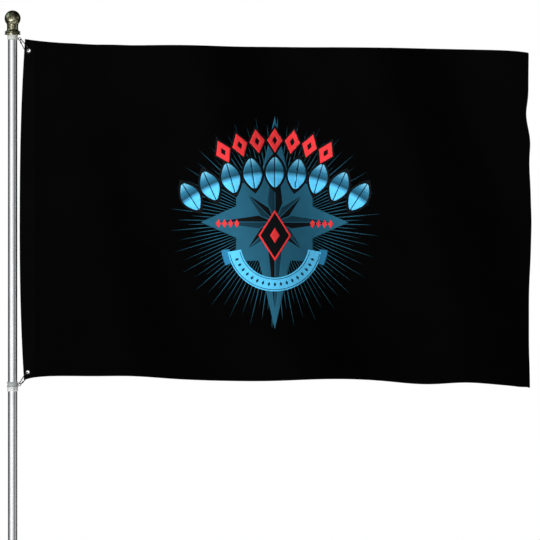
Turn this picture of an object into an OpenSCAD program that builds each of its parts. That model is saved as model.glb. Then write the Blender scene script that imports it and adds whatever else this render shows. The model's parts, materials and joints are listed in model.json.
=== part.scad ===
// Rectangular flag on a sectional ball-topped pole, held by two spinning rings with wire snap clips.
// Frame: origin at the middle of the pole's foot, +Z up the pole, +X the way the flag flies.

/* [Pole] */
// Outside diameter of the pole
pole_d = 25.4; // [22:0.1:30]
// Wall of each tube
pole_wall = 1.4; // [1:0.1:2]
// Length of each of the four tubes
section_l = 457.2; // [420:0.1:480]
// Length of each internal spigot, half in each tube
spigot_l = 120; // [80:1:160]
// Depth of the plugs in the two ends of the pole
plug_l = 25; // [20:1:40]

/* [Finial] */
// Diameter of the ball
ball_d = 43.6; // [36:0.1:50]
// Diameter of the neck under the ball
neck_d = 30.6; // [28:0.1:34]
// Diameter of the two beads on the flange
flange_d = 43; // [36:0.1:48]
// Diameter of the threaded stud
stud_d = 8; // [6:0.1:10]

/* [Rings] */
// Outside diameter of the plain top ring
top_ring_d = 27.8; // [27:0.1:30]
// Height of the top ring
top_ring_h = 11.6; // [9:0.1:12]
// Outside diameter of the lower ring's two flanges
low_flange_d = 32.2; // [30:0.1:36]
// Outside diameter of the lower ring's waist
low_waist_d = 28.8; // [27.5:0.1:30]
// Height of the lower ring
low_ring_h = 13.4; // [12:0.1:16]
// Height of the lower ring's foot above the pole's foot
low_ring_z = 868.5; // [860:0.1:880]
// Outside diameter of the stop collar
collar_d = 29.2; // [28.5:0.1:34]
// Height of the stop collar
collar_h = 11.7; // [9:0.1:14]

/* [Snap clips] */
// Thickness of the clip wire
clip_wire_d = 2.5; // [2:0.1:2.8]
// Thickness of the wire in the ring eyes
eye_wire_d = 1.8; // [1.4:0.1:2]
// Length of a clip between the middles of its end bends
clip_l = 37; // [35:0.5:42]
// How far a clip's plane is turned out of the flag's plane
clip_tilt = 50; // [45:1:60]
// Slope of the top clip, below the horizontal
top_clip_slope = 52; // [50:0.5:56]
// Slope of the lower clip, above the horizontal
low_clip_slope = 56.5; // [50:0.5:58]

/* [Flag] */
// Hoist edge at the top corner, from the pole's axis
hoist_x = 33.5; // [30:0.5:36]
// Hoist edge at the bottom corner, from the pole's axis
hoist_low_x = 30.5; // [29:0.5:36]
// How far the hoist edge bows towards the pole at mid height
hoist_bow = 13; // [0:0.5:16]
// Fly edge, from the pole's axis
fly_x = 1394; // [1300:1:1420]
// Thickness of the cloth panel
cloth_t = 1; // [0.8:0.1:2]
// Thickness of the folded heading band
heading_t = 2; // [1.6:0.1:2.4]
// Depth of the waves towards the fly
wave_depth = 58; // [0:1:70]
// Length of one wave
wave_l = 490; // [400:5:700]
// Lean of the waves, sideways run for each unit of drop
wave_lean = 0.35; // [0:0.01:0.6]
// Radius of the grommet holes
grommet_r = 4.2; // [4:0.05:5.5]

/* [Hidden] */
$fn = 64;

eps = 0.01;
fit = 0.05;                              // radial clearance of a running fit
press = 0.01;                            // radial clearance of a pressed piece
gap = 0.3;                               // clearance between pieces that pass each other
pole_r = pole_d / 2;
bore_r = pole_r - pole_wall;
pole_h = 4 * section_l;
edge_break = 0.4;                        // chamfer on the tube ends and turned edges
spigot_wall = 1.7;
foot_plug_wall = 2.5;
foot_plug_floor = 3;

washer_t = 1;
neck_r = neck_d / 2;
flange_r = flange_d / 2;
ball_r = ball_d / 2;
stud_r = stud_d / 2;
skirt_h = 10.2;                          // how far the flange reaches down over the tube
neck_h = 19;
ball_rise = 34.5;                        // middle of the ball above the pole
base_foot_z = pole_h - skirt_h;
base_seat_z = pole_h + washer_t;
neck_top_z = pole_h + neck_h;
ball_z = pole_h + ball_rise;
ball_wall = 1.2;
neck_bead_r = 1.2;
flange_bead_r = 2.3;
neck_spigot_r = neck_r - 2.6;            // stub of the neck inside the ball
neck_spigot_h = 2.4;
stud_break = 0.8;
stud_room = 0.5;                         // space above the end of the stud
blind_top = 4;                           // solid metal above the stud's hole
mouth_r = neck_r - 0.4;                  // opening under the ball
seat_z = ball_z - sqrt(ball_r * ball_r - mouth_r * mouth_r); // where the ball sits on the neck

top_ring_r = top_ring_d / 2;
top_ring_z = base_foot_z - gap - top_ring_h;
retainer_h = 1.6;
low_waist_r = low_waist_d / 2;
low_flange_r = low_flange_d / 2;
low_flange_h = 1.8;
collar_r = collar_d / 2;
collar_z = low_ring_z - gap - collar_h;
screw_r = 2;
screw_az = -70.3;                        // the grub screw faces the front, a little to the fly side
socket_r = 1.15;                         // hexagon socket of the grub screw
ring_pad = 0.7;                          // pad on the top ring that the eye is set in
ring_pad_w = 6;
pad_root = 0.6;                          // where the pad starts inside the ring's wall

wire_r = clip_wire_d / 2;
wire_lap = 0.3;
eye_r = eye_wire_d / 2;
eye_loop_r = 3.8;
eye_stand = 0.1;                         // the eye's loop stands just off its ring
shank_start = 0.2;                       // where an eye's shank starts, outside the pole
shank_r = 1;
top_shank_z = top_ring_z + 0.3 * top_ring_h;
top_eye_hang = 2.5;                      // how far the top eye's loop hangs below its shank
top_eye = [top_ring_r + ring_pad + eye_stand + eye_r + eye_loop_r, 0, top_shank_z - top_eye_hang];
low_eye = [low_waist_r + eye_stand + eye_r + eye_loop_r, 0, low_ring_z + low_ring_h / 2];
eye_slack = 1.2;                         // from the eye's middle to the clip wire in it
grommet_slack = 1.4;                     // from the clip wire to the middle of the grommet
reach = eye_slack + clip_l + grommet_slack;

// A clip lies in its own plane: a runs from the ring to the flag, b runs towards the gate.
near_r = 3.8;
near_c = [near_r, 0];
load_r = 5;
load_c = [clip_l - load_r, 0];
nose_r = 3;
nose_c = [clip_l - 7.5, 9];
gate_turn = 360 + belt_angle(nose_c, nose_r, near_c, near_r);
gate_slope = gate_turn - 180;
gate_root = near_c + near_r * [sin(gate_turn), -cos(gate_turn)];
gate_tip = nose_c + nose_r * [sin(gate_turn), -cos(gate_turn)];
gate_dir = [cos(gate_slope), sin(gate_slope)];
pivot_from_root = 4.6;
pivot = gate_root + pivot_from_root * gate_dir;
nose_end = gate_tip - 1.2 * gate_dir;
gate_l = norm(nose_end - pivot);
rivet_r = 0.6;
knuckle_r = 1.9;                         // round of the gate's hinge
tongue_t = 1.3;
tongue_w = 2;
tongue_l = 2.8;
cheek_t = 0.8;
cheek_w = 2.4;
cheek_l = 3.6;
cheek_gap = 0.1;
bridge_x = 2.8;                          // block that joins the two cheeks to the gate's wire
bridge_l = 1.2;

top_dir = [cos(top_clip_slope), 0, -sin(top_clip_slope)];
low_dir = [cos(low_clip_slope), 0, sin(low_clip_slope)];
top_side = [-sin(top_clip_slope), 0, -cos(top_clip_slope)];
low_side = [sin(low_clip_slope), 0, -cos(low_clip_slope)];
top_hole = top_eye + reach * top_dir;
low_hole = low_eye + reach * low_dir;

top_edge_z = 1793.8;                     // straight run of each edge, at the pole's axis
low_edge_z = 901.2;
top_edge_fall = 0.0113;                  // how much each edge drops for every unit along the fly
low_edge_fall = 0.0194;
top_hoist_rise = 14.5;                   // how far the four corners are drawn out
top_fly_drop = 11;
low_hoist_drop = 13;
low_fly_drop = 12;
top_hoist_reach = 90;                    // and how far along the edge that reaches
top_fly_reach = 55;
low_hoist_reach = 35;
low_fly_reach = 40;
scallop = 7;                             // rise and fall of the bottom edge
scallop_x = 760;
scallop_reach = 260;
scallop_zero_x = 790;
scallop_l = 700;
wave_reach = 260;                        // how soon the waves grow from the heading
bow_power = 2.4;
heading_edge = 61;
panel_x = 64;
mid_x = 735;
mid_z = 1340;
fly_bulge = 5;                           // how far the fly edge bows out at mid height
columns = 42;
rows = 8;
eyelet_wall = 0.4;
eyelet_flange_r = 7.5;
eyelet_t = 0.9;
eyelet_end = 0.6;                        // how far the barrel stands out behind the band
washer_flange_t = 0.7;

// Direction of the straight run that touches two circles on its right hand side
function belt_angle(c0, r0, c1, r1) =
    atan2(c1.y - c0.y, c1.x - c0.x) + asin((r0 - r1) / norm(c1 - c0));

function between(a, b, share) = a + (b - a) * share;

// Top and bottom edges of the flag along the fly
function edge_top(x) =
    top_edge_z - top_edge_fall * x
    + top_hoist_rise * exp((hoist_x - x) / top_hoist_reach)
    - top_fly_drop * exp((x - fly_x) / top_fly_reach);
function edge_bottom(x) =
    low_edge_z - low_edge_fall * x
    + scallop * exp(-pow((x - scallop_x) / scallop_reach, 2))
        * sin(360 * (x - scallop_zero_x) / scallop_l)
    - low_hoist_drop * exp((hoist_x - x) / low_hoist_reach)
    - low_fly_drop * exp((x - fly_x) / low_fly_reach);
function wave_ramp(x) = 1 - exp(-pow((x - heading_edge) / wave_reach, 2));
function wave_y(x, z) =
    wave_depth * wave_ramp(x) * sin(360 * (x - mid_x - wave_lean * (mid_z - z)) / wave_l);
function cloth_point(u, v) =
    let (x = panel_x + u * (fly_x + fly_bulge * sin(180 * v) - panel_x))
    let (z = edge_bottom(x) + v * (edge_top(x) - edge_bottom(x)))
    [x, wave_y(x, z), z];
function hoist_edge(v) =
    between(hoist_low_x, hoist_x, v) - hoist_bow * (1 - pow(abs(2 * v - 1), bow_power));

// ---- shared shapes ----

// Tube standing on z = 0, with its outer edges broken; the lower one can be left square
module tube(r, bore, h, foot_break = edge_break) {
    rotate_extrude()
        polygon(concat(
            [[bore, 0]],
            foot_break > 0 ? [[r - foot_break, 0], [r, foot_break]] : [[r, 0]],
            [[r, h - edge_break], [r - edge_break, h], [bore, h]]
        ));
}

// Spigot pressed into the upper tube and running in the lower one
module spigot(z) {
    translate([0, 0, z])
        difference() {
            union() {
                cylinder(r = bore_r - press, h = spigot_l / 2);
                translate([0, 0, -spigot_l / 2])
                    cylinder(r = bore_r - fit, h = spigot_l / 2 + eps);
            }
            translate([0, 0, -spigot_l / 2 - 1])
                cylinder(r = bore_r - spigot_wall, h = spigot_l + 2);
        }
}

// Straight wire between two points of a clip's plane, a hair thinner than the bends it runs into
module wire(p, q) {
    translate([p.x, p.y, 0])
        rotate([0, 0, atan2(q.y - p.y, q.x - p.x)])
            rotate([0, 90, 0])
                translate([0, 0, -wire_lap])
                    cylinder(r = wire_r - 0.04, h = norm(q - p) + 2 * wire_lap);
}

// Bent wire about a centre, from one direction of travel to the next
module bend(c, r, turn_in, turn_out) {
    translate([c.x, c.y, 0])
        rotate([0, 0, turn_in - 90])
            rotate_extrude(angle = turn_out - turn_in)
                translate([r, 0])
                    circle(r = wire_r);
}

// Puts a clip's own plane in place: from is the eye, run the way to the flag, side the gate side
module clip_frame(from, run, side) {
    start = from + eye_slack * run;
    across = cos(clip_tilt) * side + [0, sin(clip_tilt), 0];
    up = cross(run, across);
    multmatrix([
        [run.x, across.x, up.x, start.x],
        [run.y, across.y, up.y, start.y],
        [run.z, across.z, up.z, start.z]
    ])
        children();
}

module clip_body() {
    spine = belt_angle(near_c, near_r, load_c, load_r);
    top = belt_angle(load_c, load_r, nose_c, nose_r);
    neck = pivot - pivot_from_root / 2 * gate_dir;
    difference() {
        union() {
            bend(near_c, near_r, gate_turn - 360, spine);
            wire(
                near_c + near_r * [sin(spine), -cos(spine)],
                load_c + load_r * [sin(spine), -cos(spine)]
            );
            bend(load_c, load_r, spine, top);
            wire(load_c + load_r * [sin(top), -cos(top)], nose_c + nose_r * [sin(top), -cos(top)]);
            bend(nose_c, nose_r, top, gate_turn);
            wire(gate_tip, nose_end + 0.3 * gate_dir);
            wire(gate_root, neck);
            translate([pivot.x, pivot.y, -tongue_t / 2])
                cylinder(r = knuckle_r, h = tongue_t);
            translate([pivot.x, pivot.y, 0])
                rotate([0, 0, gate_slope])
                    translate([-tongue_l, -tongue_w / 2, -tongue_t / 2])
                        cube([tongue_l, tongue_w, tongue_t]);
        }
        translate([pivot.x, pivot.y, -wire_r])
            cylinder(r = rivet_r + press, h = clip_wire_d);
    }
}

module clip_gate() {
    inner = tongue_t / 2 + cheek_gap;
    wire_x = bridge_x + bridge_l - 0.1;
    gate_end_gap = 0.2;
    translate([pivot.x, pivot.y, 0])
        rotate([0, 0, gate_slope])
            difference() {
                union() {
                    for (side = [-1, 1])
                        translate([0, 0, side * (inner + cheek_t / 2)]) {
                            cylinder(r = knuckle_r, h = cheek_t, center = true);
                            translate([cheek_l / 2, 0, 0])
                                cube([cheek_l, cheek_w, cheek_t], center = true);
                        }
                    translate([bridge_x, -cheek_w / 2, -inner - cheek_t])
                        cube([bridge_l, cheek_w, 2 * (inner + cheek_t)]);
                    translate([wire_x, 0, 0])
                        rotate([0, 90, 0])
                            cylinder(r = wire_r - 0.1, h = gate_l - wire_x - gate_end_gap);
                }
                cylinder(r = rivet_r + fit, h = 2 * (inner + cheek_t) + 2, center = true);
            }
}

module clip_rivet() {
    half = tongue_t / 2 + cheek_gap + cheek_t + fit;
    translate([pivot.x, pivot.y, 0]) {
        cylinder(r = rivet_r, h = 2 * half + eps, center = true);
        for (side = [0, 1])
            mirror([0, 0, side])
                translate([0, 0, half])
                    cylinder(r1 = 1.15, r2 = 0.85, h = 0.45);
    }
}

// Wire eye on a ring: a loop in the flag's plane, hanging from a shank that runs into the ring's wall
module ring_eye(middle, wall_r, hang = 0) {
    loop_x = middle.x - sqrt(pow(eye_loop_r, 2) - pow(hang, 2));
    translate(middle)
        rotate([90, 0, 0])
            rotate_extrude()
                translate([eye_loop_r, 0])
                    circle(r = eye_r);
    translate([wall_r, 0, middle.z + hang])
        rotate([0, 90, 0])
            cylinder(r = shank_r - press, h = loop_x - wall_r);
}

module shank_hole(z) {
    translate([pole_r - 1, 0, z])
        rotate([0, 90, 0])
            cylinder(r = shank_r, h = 6);
}

// Eyelet: rolled flange at the front and a barrel through the band
module eyelet(middle) {
    translate(middle)
        rotate([90, 0, 0])
            rotate_extrude()
                polygon([
                    [grommet_r, -heading_t / 2 - eyelet_end],
                    [grommet_r + eyelet_wall, -heading_t / 2 - eyelet_end],
                    [grommet_r + eyelet_wall, heading_t / 2 + fit],
                    [eyelet_flange_r, heading_t / 2 + fit],
                    [eyelet_flange_r - 0.3, heading_t / 2 + 0.5],
                    [eyelet_flange_r - 1.3, heading_t / 2 + eyelet_t],
                    [grommet_r + 0.6, heading_t / 2 + eyelet_t],
                    [grommet_r, heading_t / 2 + 0.5]
                ]);
}

// Washer behind the band, which the eyelet's barrel runs through
module eyelet_washer(middle) {
    translate(middle)
        rotate([-90, 0, 0])
            translate([0, 0, heading_t / 2 + fit])
                difference() {
                    cylinder(r1 = eyelet_flange_r, r2 = eyelet_flange_r - 0.6, h = washer_flange_t);
                    translate([0, 0, -1])
                        cylinder(r = grommet_r + eyelet_wall + press, h = 3);
                }
}

// ---- pole ----

module tube_bottom() {
    color("silver") tube(pole_r, bore_r, section_l, foot_break = 0);
}

module tube_second() {
    color("silver") translate([0, 0, section_l]) tube(pole_r, bore_r, section_l);
}

module tube_third() {
    color("silver") translate([0, 0, 2 * section_l]) tube(pole_r, bore_r, section_l);
}

module tube_top() {
    color("silver") translate([0, 0, 3 * section_l]) tube(pole_r, bore_r, section_l);
}

module spigot_lower() {
    color("gainsboro") spigot(section_l);
}

module spigot_middle() {
    color("gainsboro") spigot(2 * section_l);
}

module spigot_upper() {
    color("gainsboro") spigot(3 * section_l);
}

module foot_plug() {
    color("dimgray")
        difference() {
            cylinder(r = bore_r - press, h = plug_l);
            translate([0, 0, foot_plug_floor])
                cylinder(r = bore_r - foot_plug_wall, h = plug_l);
        }
}

module top_plug() {
    color("white")
        translate([0, 0, pole_h - plug_l])
            difference() {
                cylinder(r = bore_r - press, h = plug_l);
                translate([0, 0, -1])
                    cylinder(r = stud_r, h = plug_l + 2);
            }
}

// ---- finial ----

module finial_ball() {
    color("darkgoldenrod")
        translate([0, 0, ball_z])
            rotate_extrude()
                intersection() {
                    difference() {
                        circle(r = ball_r);
                        circle(r = ball_r - ball_wall);
                    }
                    translate([0, seat_z - ball_z + press])
                        square(2 * ball_r);
                }
}

// Neck and flange: a bead under the ball, a flared foot with two beads, and a skirt round the tube
module finial_base() {
    throat_z = neck_top_z - blind_top;
    bead_x = flange_r - flange_bead_r;
    color("darkgoldenrod")
        difference() {
            rotate_extrude()
                union() {
                    polygon([
                        [0, base_foot_z], [bead_x - 0.1, base_foot_z], [bead_x - 0.1, pole_h - 1],
                        [neck_r + 2, pole_h + 1.2], [neck_r + 0.4, pole_h + 3], [neck_r, pole_h + 5],
                        [neck_r, seat_z], [neck_spigot_r, seat_z],
                        [neck_spigot_r, seat_z + neck_spigot_h], [0, seat_z + neck_spigot_h]
                    ]);
                    for (bead_z = [base_foot_z + flange_bead_r, pole_h - 2.4])
                        translate([bead_x, bead_z]) circle(r = flange_bead_r);
                    translate([mouth_r, seat_z - neck_bead_r]) circle(r = neck_bead_r);
                }
            translate([0, 0, base_foot_z - 1])
                cylinder(r = pole_r + fit, h = base_seat_z - base_foot_z + 1);
            translate([0, 0, base_seat_z - 1])
                cylinder(r = stud_r - fit + press, h = throat_z - base_seat_z + 1);
        }
}

module finial_stud() {
    r = stud_r - fit;
    bottom_z = pole_h - plug_l + 4;
    top_z = neck_top_z - blind_top - stud_room;
    color("gray")
        rotate_extrude()
            polygon([
                [0, bottom_z], [r - stud_break, bottom_z], [r, bottom_z + stud_break],
                [r, top_z - stud_break], [r - stud_break, top_z], [0, top_z]
            ]);
}

module finial_washer() {
    color("white")
        translate([0, 0, pole_h + press])
            difference() {
                cylinder(r = pole_r - 0.2, h = washer_t - 2 * press);
                translate([0, 0, -1])
                    cylinder(r = stud_r + 0.3, h = washer_t + 2);
            }
}

// ---- rings ----

module top_ring() {
    color("whitesmoke")
        difference() {
            union() {
                translate([0, 0, top_ring_z])
                    tube(top_ring_r, pole_r + fit, top_ring_h);
                translate([pole_r + pad_root, -ring_pad_w / 2, top_shank_z - ring_pad_w / 2])
                    cube([top_ring_r + ring_pad - pole_r - pad_root, ring_pad_w, ring_pad_w]);
            }
            shank_hole(top_shank_z);
        }
}

module top_ring_eye() {
    color("dimgray") ring_eye(top_eye, pole_r + shank_start, top_eye_hang);
}

module top_retainer() {
    color("lightgray")
        translate([0, 0, top_ring_z - gap - retainer_h])
            tube(top_ring_r - 0.1, pole_r + press, retainer_h);
}

module lower_ring() {
    color("lightsteelblue")
        difference() {
            translate([0, 0, low_ring_z])
                rotate_extrude()
                    polygon([
                        [pole_r + fit, 0],
                        [low_flange_r - edge_break, 0], [low_flange_r, edge_break],
                        [low_flange_r, low_flange_h], [low_waist_r, low_flange_h + 0.8],
                        [low_waist_r, low_ring_h - low_flange_h - 0.8],
                        [low_flange_r, low_ring_h - low_flange_h],
                        [low_flange_r, low_ring_h - edge_break], [low_flange_r - edge_break, low_ring_h],
                        [pole_r + fit, low_ring_h]
                    ]);
            shank_hole(low_eye.z);
        }
}

module lower_ring_eye() {
    color("dimgray") ring_eye(low_eye, pole_r + shank_start);
}

module stop_collar() {
    color("white")
        difference() {
            translate([0, 0, collar_z])
                tube(collar_r, pole_r + fit, collar_h);
            translate([0, 0, collar_z + collar_h / 2])
                rotate([0, 90, screw_az])
                    cylinder(r = screw_r + fit, h = collar_r + 5);
        }
}

module set_screw() {
    tip_r = pole_r + 0.02;
    color("black")
        translate([0, 0, collar_z + collar_h / 2])
            rotate([0, 90, screw_az])
                difference() {
                    translate([0, 0, tip_r])
                        cylinder(r = screw_r, h = collar_r - tip_r);
                    translate([0, 0, tip_r + 0.7])
                        cylinder(r = socket_r, h = 3, $fn = 6);
                }
}

// ---- snap clips ----

module top_clip_body() {
    color("dimgray") clip_frame(top_eye, top_dir, top_side) clip_body();
}

module top_clip_gate() {
    color("gray") clip_frame(top_eye, top_dir, top_side) clip_gate();
}

module top_clip_rivet() {
    color("silver") clip_frame(top_eye, top_dir, top_side) clip_rivet();
}

module lower_clip_body() {
    color("dimgray") clip_frame(low_eye, low_dir, low_side) clip_body();
}

module lower_clip_gate() {
    color("gray") clip_frame(low_eye, low_dir, low_side) clip_gate();
}

module lower_clip_rivet() {
    color("silver") clip_frame(low_eye, low_dir, low_side) clip_rivet();
}

// ---- flag ----

module heading_band() {
    steps = 16;
    side_steps = 4;
    bottom_z = edge_bottom(hoist_low_x);
    top_z = edge_top(hoist_x);
    color("black")
        difference() {
            rotate([90, 0, 0])
                linear_extrude(height = heading_t, center = true)
                    polygon(concat(
                        [for (i = [0 : steps])
                            [hoist_edge(i / steps), between(bottom_z, top_z, i / steps)]],
                        [for (i = [1 : side_steps])
                            let (x = between(hoist_x, heading_edge, i / side_steps))
                            [x, edge_top(x)]],
                        [for (i = [side_steps : -1 : 1])
                            let (x = between(hoist_low_x, heading_edge, i / side_steps))
                            [x, edge_bottom(x)]]
                    ));
            for (hole = [top_hole, low_hole])
                translate(hole)
                    rotate([90, 0, 0])
                        cylinder(r = grommet_r + eyelet_wall + press, h = heading_t + 2, center = true);
        }
}

// Closed sheet over a grid of cloth points, front and back
module flag_panel() {
    side_n = (columns + 1) * (rows + 1);
    points = [
        for (s = [-1, 1]) for (i = [0 : columns]) for (j = [0 : rows])
            cloth_point(i / columns, j / rows) + [0, s * cloth_t / 2, 0]
    ];
    front = function (i, j) i * (rows + 1) + j;
    back = function (i, j) side_n + front(i, j);
    faces = [
        for (i = [0 : columns - 1]) for (j = [0 : rows - 1]) each [
            [front(i, j), front(i, j + 1), front(i + 1, j + 1)],
            [front(i, j), front(i + 1, j + 1), front(i + 1, j)],
            [back(i, j), back(i + 1, j + 1), back(i, j + 1)],
            [back(i, j), back(i + 1, j), back(i + 1, j + 1)]
        ],
        for (j = [0 : rows - 1]) each [
            [back(0, j), back(0, j + 1), front(0, j + 1)],
            [back(0, j), front(0, j + 1), front(0, j)],
            [front(columns, j), front(columns, j + 1), back(columns, j + 1)],
            [front(columns, j), back(columns, j + 1), back(columns, j)]
        ],
        for (i = [0 : columns - 1]) each [
            [back(i, 0), front(i, 0), front(i + 1, 0)],
            [back(i, 0), front(i + 1, 0), back(i + 1, 0)],
            [front(i, rows), back(i, rows), back(i + 1, rows)],
            [front(i, rows), back(i + 1, rows), front(i + 1, rows)]
        ]
    ];
    color("black") polyhedron(points = points, faces = faces, convexity = 10);
}

module top_grommet() {
    color("darkslategray") eyelet(top_hole);
}

module top_grommet_washer() {
    color("darkslategray") eyelet_washer(top_hole);
}

module lower_grommet() {
    color("darkslategray") eyelet(low_hole);
}

module lower_grommet_washer() {
    color("darkslategray") eyelet_washer(low_hole);
}

tube_bottom();
tube_second();
tube_third();
tube_top();
spigot_lower();
spigot_middle();
spigot_upper();
foot_plug();
top_plug();
finial_ball();
finial_base();
finial_stud();
finial_washer();
top_ring();
top_ring_eye();
top_retainer();
lower_ring();
lower_ring_eye();
stop_collar();
set_screw();
top_clip_body();
top_clip_gate();
top_clip_rivet();
lower_clip_body();
lower_clip_gate();
lower_clip_rivet();
heading_band();
flag_panel();
top_grommet();
top_grommet_washer();
lower_grommet();
lower_grommet_washer();
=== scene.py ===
"""A rectangular flag on a ball-topped pole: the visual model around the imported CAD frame, in metres."""
import json
import math

import bpy
import numpy as np
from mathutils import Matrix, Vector
from mathutils.geometry import delaunay_2d_cdt


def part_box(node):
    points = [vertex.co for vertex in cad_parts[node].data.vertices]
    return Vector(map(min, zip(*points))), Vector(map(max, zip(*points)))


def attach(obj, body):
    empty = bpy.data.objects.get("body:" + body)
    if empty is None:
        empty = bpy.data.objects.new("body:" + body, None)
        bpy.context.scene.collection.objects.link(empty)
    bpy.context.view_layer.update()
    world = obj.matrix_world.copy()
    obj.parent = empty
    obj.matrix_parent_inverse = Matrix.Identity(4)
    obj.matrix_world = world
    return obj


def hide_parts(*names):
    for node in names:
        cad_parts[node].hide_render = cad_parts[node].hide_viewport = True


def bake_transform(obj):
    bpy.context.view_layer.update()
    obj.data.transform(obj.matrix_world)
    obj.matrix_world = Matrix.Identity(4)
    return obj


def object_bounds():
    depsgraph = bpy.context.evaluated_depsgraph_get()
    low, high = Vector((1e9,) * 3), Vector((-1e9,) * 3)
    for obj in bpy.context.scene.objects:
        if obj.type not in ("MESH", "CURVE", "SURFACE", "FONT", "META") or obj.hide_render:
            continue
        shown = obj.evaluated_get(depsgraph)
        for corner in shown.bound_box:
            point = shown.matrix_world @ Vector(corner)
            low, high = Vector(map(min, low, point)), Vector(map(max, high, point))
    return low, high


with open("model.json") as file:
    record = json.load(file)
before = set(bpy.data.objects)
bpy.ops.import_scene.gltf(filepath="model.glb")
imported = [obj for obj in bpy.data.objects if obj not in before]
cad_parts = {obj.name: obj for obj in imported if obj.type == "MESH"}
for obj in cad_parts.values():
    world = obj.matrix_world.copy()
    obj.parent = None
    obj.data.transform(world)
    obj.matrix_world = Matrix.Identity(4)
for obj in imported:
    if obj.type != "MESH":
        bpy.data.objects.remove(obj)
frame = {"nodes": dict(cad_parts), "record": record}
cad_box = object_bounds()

scene = bpy.context.scene
PI = math.pi


def centre(node):
    """Middle of a CAD node's box."""
    low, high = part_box(node)
    return (low + high) / 2


# ---- Camera: a long lens, level, square to the flag ----------------------------------------------------------

VIEW_WIDTH = 1.458
VIEW_X = 0.695
VIEW_Z = 1.184
LENS = 300
SENSOR = 36

camera_data = bpy.data.cameras.new("camera")
camera_data.lens = LENS
camera_data.sensor_width = SENSOR
view_distance = VIEW_WIDTH * LENS / SENSOR
camera_data.clip_end = 10 * view_distance
camera = bpy.data.objects.new("camera", camera_data)
camera.location = (VIEW_X, -view_distance, VIEW_Z)
camera.rotation_euler = (PI / 2, 0, 0)
scene.collection.objects.link(camera)
scene.camera = camera
scene.view_settings.view_transform = "Standard"


# ---- Node trees ----------------------------------------------------------------------------------------------

def add(tree, kind, inputs=None, **settings):
    """A shader node: a socket given as an input is linked, and anything else is set as its value."""
    made = tree.nodes.new("ShaderNode" + kind)
    for key, value in settings.items():
        setattr(made, key, value)
    for key, value in (inputs or {}).items():
        if isinstance(value, bpy.types.NodeSocket):
            tree.links.new(value, made.inputs[key])
        else:
            made.inputs[key].default_value = value
    return made


def ramp(tree, factor, stops):
    """A colour ramp through stops of (position, (r, g, b))."""
    made = add(tree, "ValToRGB", {"Fac": factor})
    elements = made.color_ramp.elements
    while len(elements) < len(stops):
        elements.new(0.5)
    for element, (position, colour) in zip(elements, stops):
        element.position = position
        element.color = (*colour, 1)
    return made.outputs["Color"]


def grey(value):
    return (value, value, value)


def srgb(red, green, blue):
    """Linear colour of an 8-bit screen colour."""
    def linear(value):
        value /= 255
        return value / 12.92 if value <= 0.04045 else ((value + 0.055) / 1.055) ** 2.4
    return (linear(red), linear(green), linear(blue))


# ---- Light: plain white behind the object, a studio of soft panels for reflections, and three softboxes ------

STUDIO_RING = [  # degrees round from the camera, to the object's right; brightness
    (-180, 0.55), (-168, 0.35), (-154, 0.06), (-108, 0.07), (-90, 0.12), (-72, 0.34), (-58, 0.52), (-42, 0.98),
    (-30, 1.10), (-10, 0.98), (4, 0.77), (18, 0.53), (34, 0.35), (48, 0.17), (62, 0.15), (72, 0.34),
    (82, 0.52), (90, 0.40), (98, 0.18), (108, 0.06), (118, 0.02), (157, 0.03), (168, 0.30), (180, 0.55),
]
STUDIO_HEIGHT = [  # sine of the elevation; share of the ring's brightness
    (-1, 0.15), (-0.70, 0.30), (-0.48, 0.8), (-0.36, 1.15), (-0.26, 1.25), (-0.16, 1.1), (-0.05, 1.0),
    (0.10, 0.95), (0.30, 0.40), (0.6, 0.18), (1, 0.24),
]
STUDIO_UNEVEN = 0.22         # how far the panels' edges wander up and down
STUDIO_STRENGTH = 1.25
STUDIO_PANELS = [  # degrees round and up; degrees from its middle where it fades out and where it is full; colour
    (-23, -25, 21, 12, (6.0, 6.2, 7.4)),
    (-90, 34, 30, 14, (0.70, 0.90, 0.85)),
]
SOFTBOXES = [  # place from the object's middle, size, watts
    ("key_light", (-2.2, -4.2, 2.6), 2.4, 128),
    ("fill_light", (2.6, 3.6, 2.4), 2.4, 140),
    ("top_light", (0, 0, 3.2), 4.0, 50),
]


def panel_light(tree, direction, turn, lift, edge, core, colour):
    """One soft panel of the studio, in the world's own directions."""
    turn, lift, edge, core = (math.radians(angle) for angle in (turn, lift, edge, core))
    way = (math.cos(lift) * math.sin(turn), -math.cos(lift) * math.cos(turn), math.sin(lift))
    facing = add(tree, "VectorMath", {0: direction, 1: way}, operation="DOT_PRODUCT").outputs["Value"]
    share = add(tree, "MapRange", {"Value": facing, "From Min": math.cos(edge), "From Max": math.cos(core)})
    return add(tree, "VectorMath", {0: colour, "Scale": share.outputs[0]}, operation="SCALE").outputs[0]


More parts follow.
